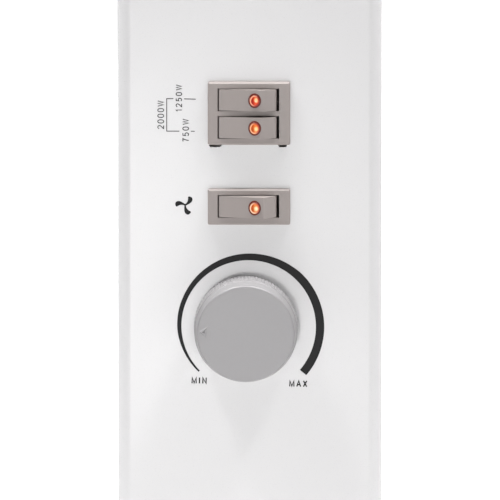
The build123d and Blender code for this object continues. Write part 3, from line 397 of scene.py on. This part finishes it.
def oval(cx, cy, rx, ry, n=28):
    """Rounded-box outline used for the zero."""
    pts = []
    for i in range(n):
        t = 2 * math.pi * i / n
        c, s = math.cos(t), math.sin(t)
        e = 0.82
        pts.append((cx + rx * math.copysign(abs(c) ** e, c), cy + ry * math.copysign(abs(s) ** e, s)))
    return pts


def arcline(cx, cy, rx, ry, a0, a1, n=12):
    return [(cx + rx * math.cos(math.radians(a0 + (a1 - a0) * i / n)), cy + ry * math.sin(math.radians(a0 + (a1 - a0) * i / n)))
            for i in range(n + 1)]


GLYPH = {
    "0": (0.58, [("c", oval(0.29, 0.5, 0.27, 0.49))]),
    "1": (0.42, [("o", [(0.06, 0.80), (0.16, 0.84), (0.25, 0.92), (0.29, 1.0), (0.29, 0.0)])]),
    "2": (0.58, [("o", arcline(0.285, 0.72, 0.255, 0.27, 170, -20, 12) + [(0.46, 0.50), (0.30, 0.33), (0.12, 0.17), (0.04, 0.02), (0.56, 0.02)])]),
    "5": (0.58, [("o", [(0.51, 0.98), (0.13, 0.98), (0.07, 0.52)] + arcline(0.28, 0.33, 0.26, 0.31, 140, -150, 14))]),
    "7": (0.56, [("o", [(0.03, 0.98), (0.54, 0.98), (0.40, 0.74), (0.28, 0.44), (0.20, 0.0)])]),
    "W": (0.92, [("o", [(0.02, 1.0), (0.24, 0.03), (0.46, 0.97), (0.68, 0.03), (0.90, 1.0)])]),
    "M": (0.80, [("o", [(0.06, 0.0), (0.06, 0.97), (0.40, 0.06), (0.74, 0.97), (0.74, 0.0)])]),
    "I": (0.22, [("o", [(0.11, 0.0), (0.11, 1.0)])]),
    "N": (0.72, [("o", [(0.07, 0.0), (0.07, 0.97), (0.62, 0.03), (0.62, 1.0)])]),
    "A": (0.68, [("o", [(0.02, 0.0), (0.34, 0.98), (0.66, 0.0)]), ("o", [(0.14, 0.33), (0.54, 0.33)])]),
    "X": (0.62, [("o", [(0.03, 1.0), (0.59, 0.0)]), ("o", [(0.59, 1.0), (0.03, 0.0)])]),
}


def lettering(name, text, start, along, up, height, stroke, gap, mat):
    """text set from start; along and up are unit vectors in the (y, z) plane."""
    parts = []
    pen = 0.0
    a, u = Vector(along), Vector(up)
    s = Vector(start)
    for ch in text:
        width, strokes = GLYPH[ch]
        for kind, pts in strokes:
            world = []
            for gx, gy in pts:
                p = s + a * ((pen + gx) * height) + u * (gy * height)
                world.append((p.x, p.y))
            parts.append(ribbon(world, stroke, INK_X0, INK_X1, kind == "c"))
        pen += width + gap
    v, f = join(parts)
    return new_object(name, v, f, mat.m, "heater")


def text_length(text, gap):
    return sum(GLYPH[c][0] + gap for c in text) - gap


def vertical(name, text, x_left, x_right, y_top, y_bottom, stroke, mat):
    """lettering that reads upwards inside a pixel box"""
    h = (x_right - x_left) / PX - stroke
    total = pz(y_top) - pz(y_bottom) - stroke
    base = text_length(text, 0.0)
    gap = (total / h - base) / (len(text) - 1)
    lettering(name, text, (py(x_right) - stroke / 2, pz(y_bottom) + stroke / 2), (0, 1), (-1, 0), h, stroke, gap, mat)


vertical("mark_power_total", "2000W", 157.4, 164.3, 100.6, 129.4, 0.37, ink_thin)
vertical("mark_power_upper", "1250W", 175.7, 182.3, 84.7, 112.3, 0.37, ink_thin)
vertical("mark_power_lower", "750W", 182.4, 189.2, 118.9, 142.2, 0.37, ink_thin)


def horizontal(name, text, x0, x1, y_top, y_bottom, stroke, tilt_deg, mat):
    h = pz(y_top) - pz(y_bottom) - stroke
    total = (x1 - x0) / PX - stroke
    base = text_length(text, 0.0)
    gap = (total / h - base) / (len(text) - 1)
    t = math.radians(tilt_deg)
    lettering(name, text, (py(x0) + stroke / 2, pz(y_bottom) + stroke / 2), (math.cos(t), math.sin(t)),
              (-math.sin(t), math.cos(t)), h, stroke, gap, mat)


horizontal("mark_min", "MIN", 191.0, 207.3, 376.9, 384.1, 0.54, -1.0, ink)
horizontal("mark_max", "MAX", 288.8, 307.6, 380.0, 387.2, 0.54, -1.0, ink)

line_w = 0.34
bracket = [
    ribbon([(py(173.5), pz(98.9)), (py(166.8), pz(98.9)), (py(166.8), pz(131.3)), (py(179.5), pz(131.3))], line_w, INK_X0, INK_X1),
    ribbon([(py(184.2), pz(99.1)), (py(195.8), pz(99.4))], line_w, INK_X0, INK_X1),
    ribbon([(py(190.9), pz(131.4)), (py(194.8), pz(131.4))], line_w, INK_X0, INK_X1),
]
v, f = join(bracket)
new_object("mark_bracket", v, f, ink_thin.m, "heater")

# three-blade pictogram: one blade turned three times
blade = [(-0.75, -0.2), (-0.95, 2.0), (-0.98, 4.5), (-0.70, 6.9), (0.45, 8.7), (2.1, 9.7), (3.8, 9.4), (5.2, 8.2), (5.85, 7.1),
         (5.3, 6.2), (3.4, 5.3), (1.7, 3.6), (0.85, 1.5), (0.75, -0.2)]


def smooth_loop(pts, rounds=2):
    for _ in range(rounds):
        out = []
        n = len(pts)
        for i in range(n):
            a, b = Vector(pts[i]), Vector(pts[(i + 1) % n])
            out += [tuple(a.lerp(b, 0.25)), tuple(a.lerp(b, 0.75))]
        pts = out
    return pts


blade = smooth_loop(blade)
icon = []
ICY, ICZ = 185.2, 205.1
for k in range(3):
    t = math.radians(120 * k)
    loop = []
    for bx, by in blade:
        rx, ry = bx * math.cos(t) - by * math.sin(t), bx * math.sin(t) + by * math.cos(t)
        loop.append((py(ICY + rx), pz(ICZ + ry)))
    icon.append(prism(loop, INK_X0, INK_X1))
v, f = join(icon)
new_object("mark_fan", v, f, ink.m, "heater")


# ------------------------------------------------------------------ lit lenses
def lens_material(name, warm):
    """Red-orange lens with the lamp's glow behind it, drawn about the lens centre."""
    m = Mat(name)
    sep = m.node("ShaderNodeSeparateXYZ")
    m.link(m.tc.outputs["Object"], sep.inputs[0])
    y = m.math("MULTIPLY", sep.outputs["Y"], 1000.0)
    z = m.math("MULTIPLY", sep.outputs["Z"], 1000.0 * LENS_RY / LENS_RZ)
    wob = m.math("MULTIPLY", m.math("SUBTRACT", m.noise(900, 2, 0.5), 0.5), 0.7)
    y2 = m.math("ADD", y, wob)
    z2 = m.math("SUBTRACT", z, m.math("MULTIPLY", wob, 0.6))

    def dist(cy, cz, sy=1.0, sz=1.0):
        a = m.math("DIVIDE", m.math("SUBTRACT", y2, cy), sy)
        b = m.math("DIVIDE", m.math("SUBTRACT", z2, cz), sz)
        return m.math("SQRT", m.math("ADD", m.math("MULTIPLY", a, a), m.math("MULTIPLY", b, b)))

    r = m.math("SQRT", m.math("ADD", m.math("MULTIPLY", y, y), m.math("MULTIPLY", z, z)))
    # dark core on the left, warmer towards the lamp on the right, with the lamp's own spot
    c = m.mix(m.maprange(y2, -0.85, 0.35, 0.0, 1.0, True), warm["core"], warm["mid"])
    c = m.mix(m.maprange(dist(0.62, 0.12 - 0.75 * warm["lean"], 0.95, 1.05), 0.35, 1.10, 1.0, 0.0, True), c, warm["spot"])
    # painted highlight: the ring of light gathered by the dome is painted into the glow colour, strongest on one side
    side = m.math("ADD", m.math("MULTIPLY", y2, 0.85), m.math("MULTIPLY", z2, warm["lean"]))
    ring = m.mix(m.maprange(side, -1.0, 1.1, 0.0, 1.0, True), warm["ring"], warm["ring_far"])
    c = m.mix(m.maprange(m.math("ADD", r, m.math("MULTIPLY", wob, 0.5)), 1.30, 1.56, 0.0, 1.0, True), c, ring)
    # painted shade: the lens edge, out of the light, is painted dark like the shadowed gap round the lens
    c = m.mix(m.maprange(r, 1.76, 2.02, 0.0, 1.0, True), c, warm["rim"])
    m.set(Base_Color=m.mix(m.noise(300, 2, 0.5), (0.045, 0.004, 0.002), (0.075, 0.007, 0.003)), Emission_Color=c, Roughness=0.14)
    m.b.inputs["Emission Strength"].default_value = warm["gain"]
    m.b.inputs["Coat Weight"].default_value = 0.1
    m.b.inputs["Coat Roughness"].default_value = 0.10
    m.b.inputs["Specular IOR Level"].default_value = 0.2
    return m


# in each lamp table, ring and ring_far are painted highlight colours and rim is painted shade for the lens edge
RED_LAMP = {"core": (0.36, 0.005, 0.001), "mid": (0.80, 0.075, 0.018), "spot": (1.0, 0.66, 0.30), "ring": (1.0, 0.44, 0.27),
            "ring_far": (0.40, 0.030, 0.020), "rim": (0.065, 0.014, 0.011), "lean": -0.35, "gain": 1.0}
ORANGE_LAMP = {"core": (0.50, 0.070, 0.005), "mid": (0.88, 0.24, 0.050), "spot": (1.0, 0.70, 0.28), "ring": (1.0, 0.50, 0.26),
               "ring_far": (0.55, 0.075, 0.050), "rim": (0.075, 0.018, 0.013), "lean": 0.30, "gain": 1.0}
YELLOW_LAMP = {"core": (0.50, 0.075, 0.006), "mid": (0.84, 0.30, 0.080), "spot": (1.0, 0.86, 0.48), "ring": (1.0, 0.68, 0.44),
               "ring_far": (0.66, 0.14, 0.075), "rim": (0.080, 0.020, 0.014), "lean": 0.25, "gain": 1.0}


def lens(name, zc, ridge, body, replaced, lamp):
    y0 = -math.sqrt(R_LEFT ** 2 - PIVOT_IN ** 2)
    slope = ridge / (RIDGE_Y - y0)
    t = math.atan(slope)
    h = PIVOT_IN + (LENS_Y - y0) * slope
    n = Vector((math.cos(t), -math.sin(t), 0))
    a = Vector((math.sin(t), math.cos(t), 0))
    up = Vector((0, 0, 1))
    centre = Vector((PIVOT_X + h, Y_SW + LENS_Y, zc))
    seg = 48
    prof = [(-2.3, 1.0), (0.12, 1.0), (0.24, 0.985), (0.34, 0.955), (0.38, 0.90), (0.36, 0.85)]
    # low ring, then the dome rising from it
    for i in range(11):
        q = i / 10 * math.pi / 2
        prof.append((0.34 + 0.68 * math.sin(q), 0.83 * math.cos(q)))
    verts, faces = [], []
    for hgt, k in prof[:-1]:
        for j in range(seg):
            w = 2 * math.pi * j / seg
            verts.append(centre + n * hgt + a * (LENS_RY * k * math.cos(w)) + up * (LENS_RZ * k * math.sin(w)))
    rows = len(prof) - 1
    for i in range(rows - 1):
        for j in range(seg):
            p, q = i * seg + j, i * seg + (j + 1) % seg
            faces.append((p, q, q + seg, p + seg))
    verts.append(centre + n * prof[-1][0])
    top = len(verts) - 1
    for j in range(seg):
        faces.append(((rows - 1) * seg + j, (rows - 1) * seg + (j + 1) % seg, top))
    faces.append(tuple(reversed(range(seg))))
    ob = new_object(name, verts, faces, lens_material(name + "_glow", lamp).m, body, True, centre)
    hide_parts(replaced)
    return ob


lens("lens_dome_upper", Z_HEAT + ROW, HEAT_RIDGE, "heat_rocker_upper_body", "heat_lens_upper", RED_LAMP)
lens("lens_dome_lower", Z_HEAT - ROW, HEAT_RIDGE, "heat_rocker_lower_body", "heat_lens_lower", ORANGE_LAMP)
lens("lens_dome_fan", Z_FAN, FAN_RIDGE, "fan_rocker_body", "fan_lens", YELLOW_LAMP)

# ------------------------------------------------------------------ floor, light, camera
floor_mat = Mat("studio_floor")
fn = floor_mat.noise(3, 2, 0.5)
floor_mat.set(Base_Color=floor_mat.mix(fn, (0.90, 0.90, 0.90), (0.93, 0.93, 0.93)), Roughness=0.7)
floor_mat.b.inputs["Specular IOR Level"].default_value = 0.2
me = bpy.data.meshes.new("floor")
S = 60.0
me.from_pydata([(-S, -S, 0), (S, -S, 0), (S, S, 0), (-S, S, 0), (-S, -S, -0.05), (S, -S, -0.05), (S, S, -0.05), (-S, S, -0.05)], [],
               [(0, 1, 2, 3), (7, 6, 5, 4), (0, 4, 5, 1), (1, 5, 6, 2), (2, 6, 7, 3), (3, 7, 4, 0)])
floor_mat.b.inputs["Emission Color"].default_value = (1.0, 1.0, 1.0, 1.0)
floor_mat.b.inputs["Emission Strength"].default_value = 0.50
me.materials.append(floor_mat.m)
floor = bpy.data.objects.new("floor", me)
bpy.context.scene.collection.objects.link(floor)

bpy.context.scene.view_settings.view_transform = "Standard"
world = bpy.data.worlds.new("studio")
bpy.context.scene.world = world
world.use_nodes = True
wt = world.node_tree
wt.nodes.clear()
w_out = wt.nodes.new("ShaderNodeOutputWorld")
bg = wt.nodes.new("ShaderNodeBackground")
w_tc = wt.nodes.new("ShaderNodeTexCoord")
w_sep = wt.nodes.new("ShaderNodeSeparateXYZ")
w_map = wt.nodes.new("ShaderNodeMapRange")
w_map.interpolation_type = "SMOOTHSTEP"
for key, value in {"From Min": 0.35, "From Max": 0.85, "To Min": SKY_LOW, "To Max": SKY_HIGH}.items():
    w_map.inputs[key].default_value = value
wt.links.new(w_tc.outputs["Generated"], w_sep.inputs[0])
wt.links.new(w_sep.outputs["Z"], w_map.inputs["Value"])
wt.links.new(w_map.outputs["Result"], bg.inputs["Strength"])
wt.links.new(bg.outputs[0], w_out.inputs[0])


def area(name, loc, target, size, power, size_y=None):
    d = bpy.data.lights.new(name, "AREA")
    d.energy = power
    d.size = size
    if size_y:
        d.shape = "RECTANGLE"
        d.size_y = size_y
    o = bpy.data.objects.new(name, d)
    o.location = loc
    o.rotation_mode = "QUATERNION"
    o.rotation_quaternion = (Vector(target) - Vector(loc)).to_track_quat("-Z", "Y")
    bpy.context.scene.collection.objects.link(o)
    return o


aim = Vector((XR * MM, 0.0, 0.22))


def spot(name, loc, target, power, radius, cone):
    d = bpy.data.lights.new(name, "SPOT")
    d.energy = power
    d.shadow_soft_size = radius
    d.spot_size = math.radians(cone)
    d.spot_blend = 1.0
    o = bpy.data.objects.new(name, d)
    o.location = loc
    o.rotation_mode = "QUATERNION"
    o.rotation_quaternion = (Vector(target) - Vector(loc)).to_track_quat("-Z", "Y")
    bpy.context.scene.collection.objects.link(o)
    return o


def from_panel(dist, elevation, side):
    e, s_ = math.radians(elevation), math.radians(side)
    return aim + dist * Vector((math.cos(e) * math.cos(s_), math.cos(e) * math.sin(s_), math.sin(e)))


spot("overhead_left", from_panel(1.7, 60, -62), aim, KEY_L, 0.16, 34)
spot("overhead_right", from_panel(1.7, 60, 62), aim, KEY_R, 0.16, 34)
spot("rim_left", from_panel(1.5, 67.3, -74.2), aim, RIM_L, 0.14, 26)
spot("rim_right", from_panel(1.5, 67.3, 74.2), aim, RIM_R, 0.14, 26)
area("softbox_top", Vector((-0.15, 0.0, 2.45)), Vector((-0.15, 0.0, 0.0)), 1.7, TOP, 1.7)
area("softbox_back", Vector((-1.8, 0.0, 2.3)), Vector((-1.6, 0.0, 0.0)), 1.6, BACK, 1.6)
spot("fill_low", aim + Vector((0.86, -0.085, -0.122)), aim + Vector((0, 0.022, -0.092)), LOW, 0.038, 48)
area("fill_right", aim + Vector((1.0, 1.1, 0.35)), aim, 0.4, SIDE, 0.4)

cam_data = bpy.data.cameras.new("camera")
cam = bpy.data.objects.new("camera", cam_data)
bpy.context.scene.collection.objects.link(cam)
DIST = 8.0
target = Vector((XR * MM, py(250.0) * MM, pz(250.0) * MM))
back = Vector((math.sin(AZ) * math.cos(EL), -math.cos(AZ) * math.cos(EL), math.sin(EL)))
cam.location = target + back * DIST
cam.rotation_mode = "QUATERNION"
cam.rotation_quaternion = (-back).to_track_quat("-Z", "Y")
cam_data.sensor_width = 36.0
cam_data.lens = 36.0 * DIST / (500.0 / PX * MM)
cam_data.clip_start = 0.1
cam_data.clip_end = 120.0
bpy.context.scene.camera = cam
